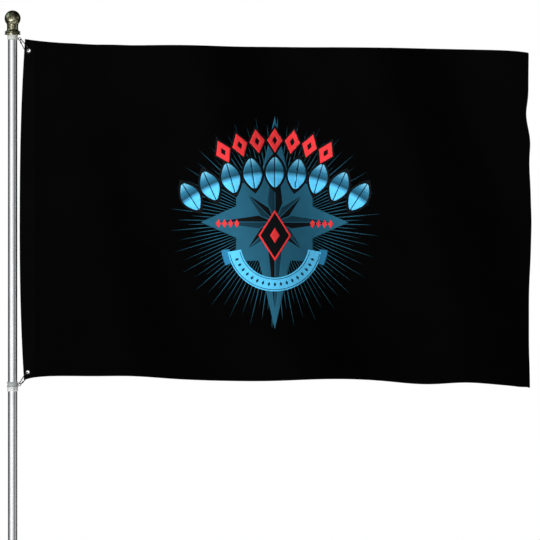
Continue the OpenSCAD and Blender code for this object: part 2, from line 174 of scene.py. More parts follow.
def make_world():
    world = bpy.data.worlds.new("studio")
    scene.world = world
    world.use_nodes = True
    tree = world.node_tree
    tree.nodes.clear()
    direction = add(tree, "TexCoord").outputs["Generated"]
    split = add(tree, "SeparateXYZ", {0: direction})
    back = add(tree, "Math", {0: split.outputs["Y"], 1: -1.0}, operation="MULTIPLY").outputs[0]
    turn = add(tree, "Math", {0: split.outputs["X"], 1: back}, operation="ARCTAN2").outputs[0]
    round_share = add(tree, "MapRange", {"Value": turn, "From Min": -PI, "From Max": PI}).outputs[0]
    ring = ramp(tree, round_share, [((a + 180) / 360, grey(b)) for a, b in STUDIO_RING])
    clutter = add(tree, "TexNoise", {"Vector": direction, "Scale": 3.5, "Detail": 3.0}).outputs["Fac"]
    shifted = add(tree, "Math", {0: clutter, 1: STUDIO_UNEVEN, 2: split.outputs["Z"]}, operation="MULTIPLY_ADD")
    height_place = add(tree, "MapRange", {"Value": shifted.outputs[0], "From Min": STUDIO_UNEVEN / 2 - 1,
                                          "From Max": STUDIO_UNEVEN / 2 + 1}).outputs[0]
    height = ramp(tree, height_place, [((s + 1) / 2, grey(b)) for s, b in STUDIO_HEIGHT])
    studio = add(tree, "VectorMath", {0: ring, 1: height}, operation="MULTIPLY").outputs[0]
    for panel in STUDIO_PANELS:
        glow = panel_light(tree, direction, *panel)
        studio = add(tree, "VectorMath", {0: studio, 1: glow}, operation="ADD").outputs[0]
    light = add(tree, "Background", {"Color": studio, "Strength": STUDIO_STRENGTH})
    plain = add(tree, "Background", {"Color": (1, 1, 1, 1), "Strength": 1.0})
    seen = add(tree, "LightPath").outputs["Is Camera Ray"]
    both = add(tree, "MixShader", {0: seen, 1: light.outputs[0], 2: plain.outputs[0]})
    add(tree, "OutputWorld", {"Surface": both.outputs[0]})


def softbox(name, place, aim, size, power):
    """A square area light, which reflections don't show."""
    data = bpy.data.lights.new(name, "AREA")
    data.size = size
    data.energy = power
    made = bpy.data.objects.new(name, data)
    made.location = place
    made.rotation_euler = (Vector(aim) - Vector(place)).to_track_quat("-Z", "Y").to_euler()
    made.visible_glossy = False
    scene.collection.objects.link(made)


make_world()
object_middle = (Vector(cad_box[0]) + Vector(cad_box[1])) / 2
for box_name, offset, box_size, watts in SOFTBOXES:
    softbox(box_name, object_middle + Vector(offset), object_middle, box_size, watts)


# ---- Materials -----------------------------------------------------------------------------------------------

def new_material(name):
    made = bpy.data.materials.new(name)
    made.use_nodes = True
    made.node_tree.nodes.clear()
    return made, made.node_tree


def object_space(tree, scale):
    """The object's own coordinates in metres, times a scale along each axis."""
    where = add(tree, "TexCoord").outputs["Object"]
    return add(tree, "Mapping", {"Vector": where, "Scale": scale}).outputs[0]


def noise(tree, scale, detail=3.0, stretch=(1, 1, 1)):
    vector = object_space(tree, stretch)
    return add(tree, "TexNoise", {"Vector": vector, "Scale": scale, "Detail": detail}).outputs["Fac"]


def spread(tree, value, low, high, from_low=0.3, from_high=0.7):
    """A value from a noise, spread between two numbers."""
    made = add(tree, "MapRange", {"Value": value, "From Min": from_low, "From Max": from_high,
                                  "To Min": low, "To Max": high})
    return made.outputs[0]


def close(tree, bump_height, bump_depth, sockets, constants):
    """The surface shader, with a bump from a height in metres."""
    bump = add(tree, "Bump", {"Height": bump_height, "Distance": bump_depth, "Strength": 1.0})
    surface = add(tree, "BsdfPrincipled", {"Normal": bump.outputs[0], **sockets, **constants})
    add(tree, "OutputMaterial", {"Surface": surface.outputs[0]})


def mixed(tree, factor, dark, bright):
    made = add(tree, "Mix", {0: factor, 6: (*dark, 1), 7: (*bright, 1)}, data_type="RGBA")
    return made.outputs[2]


def combined(tree, first, second, operation):
    return add(tree, "Math", {0: first, 1: second}, operation=operation).outputs[0]


def brushed_aluminium(name):
    """Drawn and brushed along the pole, clear anodised, with faint handling marks."""
    made, tree = new_material(name)
    lines = noise(tree, 3500, 2.0, (1, 1, 0.004))
    bands = noise(tree, 260, 2.0, (1, 1, 0.01))
    marks = noise(tree, 45, 4.0, (1, 1, 0.35))
    tone = combined(tree, spread(tree, lines, 0, 0.6), spread(tree, marks, 0, 0.4), "ADD")
    colour = mixed(tree, tone, (0.70, 0.71, 0.725), (0.86, 0.87, 0.88))
    rough = combined(tree, spread(tree, bands, 0.17, 0.24), spread(tree, marks, -0.02, 0.05), "ADD")
    close(tree, lines, 0.000006, {"Base Color": colour, "Roughness": rough}, {"Metallic": 1.0})
    return made


PATINA_EDGE = (0.42, 0.60)   # where the noise of the gold's patches turns from dark to bright


def polished_gold(name):
    """Antique gold: polished, with a darker patina in patches and fine wiping scratches."""
    made, tree = new_material(name)
    patches = noise(tree, 210, 4.0)
    specks = noise(tree, 900, 2.0)
    wipes = noise(tree, 1500, 2.0, (1, 1, 0.08))
    colour = mixed(tree, spread(tree, patches, 0, 1, *PATINA_EDGE), (0.080, 0.078, 0.044), (0.46, 0.445, 0.30))
    rough = combined(tree, spread(tree, patches, 0.24, 0.08, *PATINA_EDGE), spread(tree, specks, 0, 0.05), "ADD")
    close(tree, wipes, 0.000008, {"Base Color": colour, "Roughness": rough}, {"Metallic": 1.0})
    return made


def plated_wire(name, dark, bright, low, high):
    """Plated or oxidised metal, worn a little brighter in places."""
    made, tree = new_material(name)
    wear = noise(tree, 320, 4.0)
    grain = noise(tree, 2600, 2.0)
    colour = mixed(tree, spread(tree, wear, 0, 1, 0.35, 0.75), dark, bright)
    rough = combined(tree, spread(tree, wear, low, high), spread(tree, grain, -0.03, 0.05), "ADD")
    close(tree, grain, 0.00002, {"Base Color": colour, "Roughness": rough}, {"Metallic": 1.0})
    return made


def moulded_plastic(name, dark, bright, low, high):
    """Injection-moulded plastic: fine spark-eroded texture, slight flow marks and dust."""
    made, tree = new_material(name)
    flow = noise(tree, 55, 3.0, (1, 1, 2.5))
    texture = noise(tree, 2200, 3.0)
    colour = mixed(tree, spread(tree, flow, 0, 1), dark, bright)
    rough = combined(tree, spread(tree, flow, low, high), spread(tree, texture, -0.04, 0.06), "ADD")
    close(tree, texture, 0.00003, {"Base Color": colour, "Roughness": rough}, {})
    return made


WARP_PITCH = 0.00055         # two threads
WEFT_PITCH = 0.00062


def woven(tree, coarse=1.0):
    """Height of a plain weave, 0 to 1: threads along X and Z that pass over and under each other."""
    split = add(tree, "SeparateXYZ", {0: add(tree, "TexCoord").outputs["Object"]})

    def thread(axis, pitch):
        turn = combined(tree, split.outputs[axis], 2 * PI / (pitch * coarse), "MULTIPLY")
        return add(tree, "Math", {0: turn}, operation="SINE").outputs[0]

    crossed = combined(tree, thread("X", WARP_PITCH), thread("Z", WEFT_PITCH), "MULTIPLY")
    return add(tree, "MapRange", {"Value": crossed, "From Min": -1.0, "From Max": 1.0}).outputs[0]


def black_cloth(name, coarse, dark, bright, depth):
    """Dyed woven polyester: weave, slubs and a slightly uneven dye."""
    made, tree = new_material(name)
    weave = woven(tree, coarse)
    slubs = noise(tree, 420, 3.0, (1, 1, 0.12))
    uneven = noise(tree, 9, 4.0)
    tone = combined(tree, spread(tree, slubs, 0, 0.35), spread(tree, uneven, 0, 0.35), "ADD")
    tone = combined(tree, tone, combined(tree, weave, 0.3, "MULTIPLY"), "ADD")
    colour = mixed(tree, tone, dark, bright)
    rough = spread(tree, slubs, 0.78, 0.92)
    close(tree, weave, depth, {"Base Color": colour, "Roughness": rough}, {"Specular IOR Level": 0.015})
    return made


def printed_cloth(name, colour_of):
    """Dye print in the same weave: the weave and wear thin the full colour, colour_of(tree), a little."""
    made, tree = new_material(name)
    weave = woven(tree)
    fade = noise(tree, 38, 4.0)
    thin = combined(tree, spread(tree, fade, 0.86, 1.0), spread(tree, weave, 0.9, 1.0, 0.0, 1.0), "MULTIPLY")
    colour = add(tree, "VectorMath", {0: colour_of(tree), "Scale": thin}, operation="SCALE").outputs[0]
    close(tree, weave, 0.00005, {"Base Color": colour, "Roughness": spread(tree, fade, 0.72, 0.85)},
          {"Specular IOR Level": 0.12})
    return made


def plain(colour):
    return lambda tree: mixed(tree, noise(tree, 240, 2.0), tuple(0.9 * c for c in colour), colour)


FINISHES = {
    "pole_aluminium": (brushed_aluminium,),
    "antique_gold": (polished_gold,),
    # The top ring's white is painted darker than the collar's copy of the same plastic: painted shade, offsetting
    # the key light that falls more strongly near the top.
    "ring_white": (moulded_plastic, srgb(161, 161, 151), srgb(179, 179, 169), 0.30, 0.42),
    # The stop collar's copy of the same white plastic, painted lighter: painted light, where the key light falls
    # on it more weakly than on the top ring.
    "collar_white_painted_lit": (moulded_plastic, srgb(189, 191, 186), srgb(208, 210, 205), 0.30, 0.42),
    "ring_grey": (moulded_plastic, srgb(135, 139, 136), srgb(159, 163, 160), 0.22, 0.34),
    "plug_dark": (moulded_plastic, grey(0.012), grey(0.022), 0.40, 0.55),
    "plug_white": (moulded_plastic, srgb(204, 205, 201), srgb(222, 223, 219), 0.34, 0.45),
    "stud_steel": (plated_wire, grey(0.36), grey(0.58), 0.24, 0.36),
    "clip_steel": (plated_wire, (0.014, 0.014, 0.015), (0.055, 0.055, 0.058), 0.22, 0.36),
    "screw_black": (plated_wire, grey(0.006), grey(0.02), 0.30, 0.42),
    "cloth_black": (black_cloth, 1.0, grey(0.0004), grey(0.0012), 0.00006),
    "heading_black": (black_cloth, 1.7, grey(0.0006), grey(0.0018), 0.00012),
    "grommet_black": (plated_wire, grey(0.010), grey(0.05), 0.26, 0.38),
    "thread_black": (black_cloth, 0.5, grey(0.0012), grey(0.0035), 0.00003),
}
MATERIALS = {name: make(name, *look) for name, (make, *look) in FINISHES.items()}
FINISH_OF_NODE = {"stop_collar": "collar_white_painted_lit"}     # whiter than the top ring, whose slot it shares: a lit copy of the same plastic, painted lighter to stand in for light

for part in frame["record"]["subparts"]:
    finish = MATERIALS[FINISH_OF_NODE.get(part["node"], part["material_slot"])]
    for material_slot in frame["nodes"][part["node"]].material_slots:
        material_slot.material = finish


# ---- Meshes --------------------------------------------------------------------------------------------------

def dress(mesh, material):
    mesh.materials.clear()
    mesh.materials.append(material)


def make_piece(name, points, faces, material, flat_from=None):
    """A mesh piece; faces from index flat_from on are shaded flat."""
    mesh = bpy.data.meshes.new(name)
    mesh.from_pydata([tuple(map(float, p)) for p in points], [], [tuple(map(int, f)) for f in faces])
    smooth = np.ones(len(mesh.polygons), bool)
    if flat_from is not None:
        smooth[flat_from:] = False
    mesh.polygons.foreach_set("use_smooth", smooth)
    mesh.update()
    dress(mesh, material)
    made = bpy.data.objects.new(name, mesh)
    scene.collection.objects.link(made)
    return made


def turned(name, profile, axis, material, sides=96):
    """A solid turned about a vertical axis; profile is (radius, height) upwards, with both ends on the axis."""
    points = [(axis[0], axis[1], profile[0][1])]
    for radius, height in profile[1:-1]:
        points += [(axis[0] + radius * math.cos(2 * PI * k / sides),
                    axis[1] + radius * math.sin(2 * PI * k / sides), height) for k in range(sides)]
    points.append((axis[0], axis[1], profile[-1][1]))
    faces = []
    for k in range(sides):
        after = (k + 1) % sides
        faces.append((0, 1 + after, 1 + k))
        faces.append((len(points) - 1, len(points) - 1 - sides + k, len(points) - 1 - sides + after))
        for ring in range(len(profile) - 3):
            low, high = 1 + ring * sides, 1 + (ring + 1) * sides
            faces.append((low + k, low + after, high + after, high + k))
    return make_piece(name, points, faces, material)


def inside(points, loops):
    """Which points lie in an odd number of the closed loops."""
    hit = np.zeros(len(points), bool)
    for loop in loops:
        ends = np.roll(loop, -1, axis=0)
        for (x0, z0), (x1, z1) in zip(loop, ends):
            if z0 == z1:
                continue
            crosses = (points[:, 1] >= min(z0, z1)) & (points[:, 1] < max(z0, z1))
            at = x0 + (points[:, 1] - z0) * (x1 - x0) / (z1 - z0)
            hit ^= crosses & (points[:, 0] < at)
    return hit


def finer(loop, step):
    """The closed loop with points added so that none are further apart than step."""
    points = []
    for start, end in zip(loop, np.roll(loop, -1, axis=0)):
        count = max(1, math.ceil(np.hypot(*(end - start)) / step))
        points += [start + (end - start) * k / count for k in range(count)]
    return np.array(points)


GRID_CLEARANCE = 0.3         # share of the step by which inner points stay off the loops
SAME_POINT = 1e-7


def cut_out(loops, step):
    """Triangles over a flat area with holes: its loops' own points, and a grid between them."""
    loops = [finer(np.asarray(loop, float), step) for loop in loops]
    corners = np.vstack(loops)
    low, high = corners.min(0), corners.max(0)
    columns = np.arange(math.ceil(low[0] / step), math.floor(high[0] / step) + 1) * step
    rows = np.arange(math.ceil(low[1] / step), math.floor(high[1] / step) + 1) * step
    grid = np.array([(x, z) for x in columns for z in rows], float).reshape(-1, 2)
    if len(grid):
        grid = grid[inside(grid, loops)]
    if len(grid):
        dense = np.vstack([loop + (np.roll(loop, -1, axis=0) - loop) * share
                           for loop in loops for share in (0, 0.5)])
        gaps = np.array([np.min(np.hypot(*(dense - g).T)) for g in grid])
        grid = grid[gaps > GRID_CLEARANCE * step]
    edges, first = [], 0
    for loop in loops:
        edges += [(first + k, first + (k + 1) % len(loop)) for k in range(len(loop))]
        first += len(loop)
    cloud = np.vstack([corners, grid]) if len(grid) else corners
    verts, _, tris, *_ = delaunay_2d_cdt([Vector(p) for p in cloud], edges, [], 0, SAME_POINT)
    verts = np.array([tuple(v) for v in verts])
    tris = np.array([tuple(t) for t in tris])
    return verts, tris[inside(verts[tris].mean(axis=1), loops)]


def slab(areas, step, front, back):
    """Closed thin solids over flat areas, each a list of loops: points, faces, and the number of skin faces."""
    points, skins, walls, total = [], [], [], 0
    for loops in areas:
        flat, tris = cut_out(loops, step)
        count = len(flat)
        points += [front(flat[:, 0], flat[:, 1]), back(flat[:, 0], flat[:, 1])]
        used = {}
        for a, b, c in tris:
            skins.append((total + a, total + b, total + c))
            skins.append((total + count + c, total + count + b, total + count + a))
            for pair in ((a, b), (b, c), (c, a)):
                used[pair] = True
        for a, b in used:
            if (b, a) not in used:
                walls.append((total + b, total + a, total + count + a, total + count + b))
        total += 2 * count
    return np.vstack(points), skins + walls, len(skins)


# ---- Finial ball: a smooth turned shell over its CAD solid ----------------------------------------------------

BALL_R = 0.0218
BALL_STEPS = 48
ball_low, ball_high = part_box("finial_ball")
ball_middle = centre("finial_ball")
ball_z = ball_high.z - BALL_R
mouth_angle = math.asin((ball_low.z - ball_z) / BALL_R)
ball_profile = [(0, ball_low.z)]
for step in range(BALL_STEPS + 1):
    angle = mouth_angle + (PI / 2 - mouth_angle) * step / BALL_STEPS
    ball_profile.append((BALL_R * math.cos(angle), ball_z + BALL_R * math.sin(angle)))
ball_profile[-1] = (0, ball_high.z)
ball = turned("finial_ball_turned", ball_profile, (ball_middle.x, ball_middle.y),
              MATERIALS["antique_gold"])
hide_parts("finial_ball")
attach(ball, "finial")


# ---- Cloth: one surface that the panel, hems, stitches and print all lie on -----------------------------------

HOIST_X = 0.0335
HOIST_LOW_X = 0.0305
HOIST_BOW = 0.0130
FLY_X = 1.394
TOP_EDGE_Z = 1.7938          # straight run of each edge, at the pole's axis
LOW_EDGE_Z = 0.9012
TOP_EDGE_FALL = 0.0113       # how much each edge drops for every metre along the fly
LOW_EDGE_FALL = 0.0194
TOP_HOIST_RISE = 0.0145      # how far the four corners are drawn out
TOP_FLY_DROP = 0.011
LOW_HOIST_DROP = 0.013
LOW_FLY_DROP = 0.012
TOP_HOIST_REACH = 0.090      # and how far along the edge that reaches
TOP_FLY_REACH = 0.055
LOW_HOIST_REACH = 0.035
LOW_FLY_REACH = 0.040
SCALLOP = 0.007              # rise and fall of the bottom edge
SCALLOP_X = 0.760
SCALLOP_REACH = 0.260
SCALLOP_ZERO_X = 0.790
SCALLOP_LENGTH = 0.700
HEADING_X = 0.061
PANEL_START_X = 0.054
WAVE_DEPTH = 0.058
WAVE_LENGTH = 0.490
WAVE_LEAN = 0.35
WAVE_GROWTH = 0.260
MID_X = 0.735
MID_Z = 1.340
CLOTH_T = 0.0004
HEM_SEAM = 0.0065
HEM_WIDTH = 0.010
FLY_SEAMS = (0.0045, 0.0175)
FLY_HEM = 0.020


def wave_share(x):
    """How much of their full depth the waves have at x."""
    return 1 - np.exp(-((x - HEADING_X) / WAVE_GROWTH) ** 2)


# Small swells of the edges, which the CAD's smoother outline leaves out: middle, how far up or out, half its
# spread. On the fly edge the middle and the spread are shares of its height.
TOP_EDGE_SWELLS = [(0.172, 0.0007, 0.043), (0.269, 0.0014, 0.040), (0.704, 0.0032, 0.103),
                   (0.945, -0.0013, 0.084), (1.181, 0.0030, 0.128)]
LOW_EDGE_SWELLS = [(0.323, 0.0037, 0.085), (0.493, -0.0047, 0.126), (0.763, 0.0035, 0.144),
                   (1.111, -0.0056, 0.099), (1.219, 0.0058, 0.078), (1.395, 0.0045, 0.018)]
FLY_EDGE_SWELLS = [(0.492, 0.0095, 0.181), (0.738, 0.0037, 0.040), (0.818, -0.0061, 0.042)]
FLY_LOW_X = 1.3970           # ends of the fly edge, at the bottom and the top corner
FLY_HIGH_X = 1.3903


def swelled(at, swells):
    """How far an edge's small swells move it at a place along it."""
    return sum(size * np.exp(-((at - middle) / half) ** 2) for middle, size, half in swells)


def edge_top(x):
    return (TOP_EDGE_Z - TOP_EDGE_FALL * x + TOP_HOIST_RISE * np.exp((HOIST_X - x) / TOP_HOIST_REACH)
            - TOP_FLY_DROP * np.exp((x - FLY_X) / TOP_FLY_REACH) + swelled(x, TOP_EDGE_SWELLS))


def edge_bottom(x):
    scallop = (np.exp(-((x - SCALLOP_X) / SCALLOP_REACH) ** 2)
               * np.sin(2 * PI * (x - SCALLOP_ZERO_X) / SCALLOP_LENGTH))
    return (LOW_EDGE_Z - LOW_EDGE_FALL * x + SCALLOP * scallop + swelled(x, LOW_EDGE_SWELLS)
            - LOW_HOIST_DROP * np.exp((HOIST_X - x) / LOW_HOIST_REACH)
            - LOW_FLY_DROP * np.exp((x - FLY_X) / LOW_FLY_REACH))


def edge_fly(share):
    """Where the fly edge is at a share of the cloth's height."""
    return FLY_LOW_X + (FLY_HIGH_X - FLY_LOW_X) * share + swelled(share, FLY_EDGE_SWELLS)


# Soft folds pulled by the corners and the wind: from (x, z) to (x, z), depth, half width
FOLDS = [
    ((0.075, 1.772), (1.36, 1.580), -0.0055, 0.028),
    ((0.080, 1.768), (1.05, 1.445), 0.0045, 0.034),
    ((0.930, 1.465), (1.39, 1.235), -0.0050, 0.030),
    ((0.075, 1.755), (0.62, 1.180), -0.0035, 0.040),
    ((0.075, 0.925), (0.90, 1.030), -0.0045, 0.030),
    ((0.075, 0.935), (0.55, 1.330), 0.0035, 0.036),
    ((0.560, 0.985), (1.20, 0.930), 0.0040, 0.024),
    ((1.080, 1.120), (1.39, 0.985), 0.0045, 0.028),
    ((1.050, 1.740), (1.39, 1.700), 0.0040, 0.022),
]
FOLD_START = 0.06            # free cloth over which folds grow from the heading
FOLD_TAIL = 1.15             # where a fold has died out, as a share of its length
FOLD_SHARPNESS = 0.7
FOLD_GAIN = 2.0              # brings a fold to about its depth in the middle
FOLD_WIDTHS = (0.7, 0.6)     # share of its width a fold starts with, and gains along its length
PUCKER = 0.0005
PUCKER_LENGTH = 0.034
PUCKER_REACH = 0.011
PUCKER_START = 0.03
PUCKER_UNEVEN = 17
FLUTTER = 0.0035
FLUTTER_LENGTH = 0.120
FLUTTER_REACH = 0.16
FLUTTER_LEAN = 0.3
FLUTTER_UNEVEN = 9


def cloth_y(x, z):
    """How far the cloth stands behind the pole's plane at (x, z)."""
    share = wave_share(x)
    y = WAVE_DEPTH * share * np.sin(2 * PI * (x - MID_X - WAVE_LEAN * (MID_Z - z)) / WAVE_LENGTH)
    for (x0, z0), (x1, z1), depth, width in FOLDS:
        run = math.hypot(x1 - x0, z1 - z0)
        along = ((x - x0) * (x1 - x0) + (z - z0) * (z1 - z0)) / run ** 2
        across = ((x - x0) * (z1 - z0) - (z - z0) * (x1 - x0)) / run
        window = (np.clip(along, 0, 1) * np.clip(FOLD_TAIL - along, 0, 1)) ** FOLD_SHARPNESS
        grown = width * (FOLD_WIDTHS[0] + FOLD_WIDTHS[1] * np.clip(along, 0, 1.2))
        free = np.clip((x - HEADING_X) / FOLD_START, 0, 1)
        y = y + depth * FOLD_GAIN * window * np.exp(-(across / grown) ** 2) * free
    from_fly = FLY_X - x
    y = y + (FLUTTER * np.exp(-(from_fly / FLUTTER_REACH) ** 2)
             * np.sin(2 * PI * (z + FLUTTER_LEAN * from_fly) / FLUTTER_LENGTH
                      + 1.5 * np.sin(FLUTTER_UNEVEN * z)))
    for off in (edge_top(x) - z, z - edge_bottom(x)):
        y = y + (PUCKER * np.exp(-(off / PUCKER_REACH) ** 2) * np.clip((x - HEADING_X) / PUCKER_START, 0, 1)
                 * np.sin(2 * PI * x / PUCKER_LENGTH + 2 * np.sin(PUCKER_UNEVEN * x)))
    return y


SLOPE_STEP = 0.0005


def on_cloth(x, z, lift):
    """Points a lift in front of the cloth's mid surface (behind it, where negative)."""
    h = SLOPE_STEP
    slope_x = (cloth_y(x + h, z) - cloth_y(x - h, z)) / (2 * h)
    slope_z = (cloth_y(x, z + h) - cloth_y(x, z - h)) / (2 * h)
    normal = np.stack([slope_x, -np.ones_like(slope_x), slope_z], axis=1)
    normal /= np.linalg.norm(normal, axis=1)[:, None]
    return np.stack([x, cloth_y(x, z), z], axis=1) + np.reshape(lift, (-1, 1)) * normal


def layer(lift):
    """A skin for slab, at a lift from the cloth."""
    return lambda x, z: on_cloth(x, z, lift)


def across_joint(piece):
    """Bakes the piece's placement into its mesh."""
    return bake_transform(piece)


def closed_grid(name, front, back, columns, rows, material):
    """A closed sheet from two grids of points, columns by rows, with a wall round the edge."""
    count = columns * rows
    skins, walls = [], []
    for i in range(columns - 1):
        for j in range(rows - 1):
            a, b, c, d = i * rows + j, (i + 1) * rows + j, (i + 1) * rows + j + 1, i * rows + j + 1
            skins.append((a, b, c, d))
            skins.append((count + d, count + c, count + b, count + a))
    rim = [i * rows for i in range(columns)] + [(columns - 1) * rows + j for j in range(1, rows)]
    rim += [i * rows + rows - 1 for i in range(columns - 2, -1, -1)] + list(range(rows - 2, 0, -1))
    for a, b in zip(rim, rim[1:] + rim[:1]):
        walls.append((b, a, count + a, count + b))
    return make_piece(name, np.vstack([front, back]), skins + walls, material, len(skins))


SHEET_STEP = 0.005
EDGE_OFFSETS = (0, 0.0018, 0.0036, 0.0054, 0.0076, 0.0104)


def sheet_rows():
    """Shares of the height: close together along the hems, and even between them."""
    height = float(edge_top(MID_X) - edge_bottom(MID_X))
    ends = [offset / height for offset in EDGE_OFFSETS]
    count = round((1 - 2 * ends[-1]) * height / SHEET_STEP)
    return np.array(ends + [ends[-1] + (1 - 2 * ends[-1]) * k / count for k in range(1, count)]
                    + [1 - end for end in reversed(ends)])


def make_sheet():
    shares_z = sheet_rows()
    length = FLY_X - PANEL_START_X
    fly_shares = [1 - offset / length for offset in reversed(EDGE_OFFSETS)]
    count = round(fly_shares[0] * length / SHEET_STEP)
    shares_x = np.array([fly_shares[0] * k / count for k in range(count)] + fly_shares)
    u, v = (grid.ravel() for grid in np.meshgrid(shares_x, shares_z, indexing="ij"))
    x = PANEL_START_X + u * (edge_fly(v) - PANEL_START_X)
    low = edge_bottom(x)
    z = low + v * (edge_top(x) - low)
    return closed_grid("flag_sheet", on_cloth(x, z, CLOTH_T / 2), on_cloth(x, z, -CLOTH_T / 2),
                       len(shares_x), len(shares_z), MATERIALS["cloth_black"])


flag_sheet = make_sheet()
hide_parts("flag_panel")
across_joint(flag_sheet)


# ---- Hems: turned to the back, and sewn ----------------------------------------------------------------------

HEM_STEP = 0.005
HEM_T = 0.0007
HEM_SINK = 0.0001            # how far hems start inside the sheet
HEM_ACROSS = (-0.03, 0.02, 0.25, 0.5, 0.75, 0.97, 1.0)      # shares of a hem's width, from the edge inwards
HEM_PROFILE = (0.35, 0.9, 1.0, 0.8, 1.0, 0.9, 0.3)          # and of its thickness there
HEM_START_X = HEADING_X + 0.001
HEM_END_GAP = 0.0008         # between the ends of the long hems and the fly edge
FLY_HEM_COUNT = 150
FLY_HEM_SHARES = (0.003, 0.997)                             # of the fly edge's height, from end to end
FLY_HEM_ACROSS = (*HEM_ACROSS[:0:-1], -0.02)


def long_hem(name, edge, side):
    """The turned-in strip along the top (side 1) or bottom (side -1) edge, behind the sheet."""
    end = float(edge_fly(side > 0)) - HEM_END_GAP
    rows = len(HEM_ACROSS)
    count = round((end - HEADING_X) / HEM_STEP)
    x = np.repeat(HEM_START_X + (end - HEM_START_X) * np.arange(count + 1) / count, rows)
    z = edge(x) - side * np.tile(HEM_WIDTH * np.array(HEM_ACROSS), count + 1)
    depth = np.tile(HEM_T * np.array(HEM_PROFILE), count + 1)
    inner = on_cloth(x, z, HEM_SINK - CLOTH_T / 2)
    outer = on_cloth(x, z, -CLOTH_T / 2 - depth)
    if side > 0:
        inner, outer = (skin.reshape(count + 1, rows, 3)[:, ::-1].reshape(-1, 3) for skin in (inner, outer))
    made = closed_grid(name, inner, outer, count + 1, rows, MATERIALS["cloth_black"])
    return across_joint(made)


def fly_hem():
    """The strip turned in along the fly edge."""
    count, columns = FLY_HEM_COUNT + 1, len(FLY_HEM_ACROSS)
    v = np.tile(np.linspace(*FLY_HEM_SHARES, count), columns)
    x = edge_fly(v) - np.repeat(FLY_HEM * np.array(FLY_HEM_ACROSS), count)
    low = edge_bottom(x)
    z = low + v * (edge_top(x) - low)
    depth = np.repeat(HEM_T * np.array(HEM_PROFILE[::-1]), count)
    inner = on_cloth(x, z, HEM_SINK - CLOTH_T / 2)
    outer = on_cloth(x, z, -CLOTH_T / 2 - depth)
    made = closed_grid("hem_fly", inner, outer, columns, count, MATERIALS["cloth_black"])
    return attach(made, "flag_cloth")


hem_top = long_hem("hem_top", edge_top, 1)
hem_bottom = long_hem("hem_bottom", edge_bottom, -1)
hem_fly = fly_hem()


# ---- Heading: a folded band at the hoist, with a rounded fold, sewn flat -------------------------------------

HEADING_STEP = 0.003
HEADING_HALF_T = 0.00098
HOIST_SEAM = 0.0035
HEADING_SEAMS = (0.0545, 0.0586)
SEAM_DEPTH = 0.00022         # how far a seam draws each face in
SEAM_HALF_W = 0.0009
HEADING_FOLD_R = 0.0016
HEADING_RIPPLE = 0.00012
HEADING_RIPPLE_LENGTH = 0.019
GROMMET_HOLE_R = 0.00462
HOLE_SIDES = 40
HOIST_BOW_POWER = 2.4
HOIST_LOW_Z, HOIST_HIGH_Z = float(edge_bottom(HOIST_LOW_X)), float(edge_top(HOIST_X))


def hoist_line(share):
    """Where the hoist edge is at a share of its height."""
    bow = HOIST_BOW * (1 - np.abs(2 * share - 1) ** HOIST_BOW_POWER)
    return HOIST_LOW_X + (HOIST_X - HOIST_LOW_X) * share - bow


def hoist_share(z):
    return np.clip((z - HOIST_LOW_Z) / (HOIST_HIGH_Z - HOIST_LOW_Z), 0, 1)


def heading_outline():
    steps, side_steps, count = 96, 10, 120
    rise = HOIST_HIGH_Z - HOIST_LOW_Z
    hoist = [(float(hoist_line(k / steps)), HOIST_LOW_Z + rise * k / steps) for k in range(steps, -1, -1)]
    low_columns = [HOIST_LOW_X + (HEADING_X - HOIST_LOW_X) * k / side_steps for k in range(1, side_steps + 1)]
    columns = [HOIST_X + (HEADING_X - HOIST_X) * k / side_steps for k in range(1, side_steps + 1)]
    foot = [(x, float(edge_bottom(x))) for x in low_columns]
    side_low, side_high = foot[-1][1], float(edge_top(HEADING_X))
    side = [(HEADING_X, side_low + (side_high - side_low) * k / count) for k in range(1, count)]
    head = [(x, float(edge_top(x))) for x in reversed(columns)]
    return hoist + foot + side + head


def grommet_hole(node):
    middle = centre(node)
    return [(middle.x + GROMMET_HOLE_R * math.cos(2 * PI * k / HOLE_SIDES),
             middle.z + GROMMET_HOLE_R * math.sin(2 * PI * k / HOLE_SIDES)) for k in range(HOLE_SIDES)]


def heading_skin(side):
    """Front (-1) or back (+1) face of the band: rounded at the fold, drawn in along its seams."""
    def skin(x, z):
        fold = x - hoist_line(hoist_share(z))
        round_share = np.sqrt(np.clip(1 - (1 - np.clip(fold / HEADING_FOLD_R, 0, 1)) ** 2, 0.05, 1))
        half = HEADING_HALF_T * round_share
        for off_seam in (*(x - seam for seam in HEADING_SEAMS), fold - HOIST_SEAM):
            half = half - SEAM_DEPTH * np.exp(-(off_seam / SEAM_HALF_W) ** 2)
        ripple = 0.5 + 0.5 * np.sin(2 * PI * z / HEADING_RIPPLE_LENGTH + 2 * np.sin(31 * z))
        half = half - HEADING_RIPPLE * ripple
        return np.stack([x, side * half, z], axis=1)
    return skin


heading_areas = [[heading_outline(), grommet_hole("top_grommet"), grommet_hole("lower_grommet")]]
points, faces, wall_start = slab(heading_areas, HEADING_STEP, heading_skin(-1), heading_skin(1))
heading = make_piece("heading_sleeve", points, faces, MATERIALS["heading_black"], wall_start)
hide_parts("heading_band")
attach(heading, "flag_hoist")


# ---- Stitches ------------------------------------------------------------------------------------------------

STITCH_PITCH = 0.0040
STITCH_L = 0.0031
STITCH_R = 0.00028
STITCH_SIDES = 5
THREAD_LIFT = 0.00005        # from the cloth's face to the middle of a thread
BACK_OF_HEM = -CLOTH_T / 2 - 0.8 * HEM_T     # where the seams lie on the hems
NORMAL_STEP = 0.001
SEAM_END_GAP = 0.002
SEAM_POINTS = 700
FLY_SEAM_SHARES = (0.004, 0.996)
HEADING_SEAM_GAP = 0.006


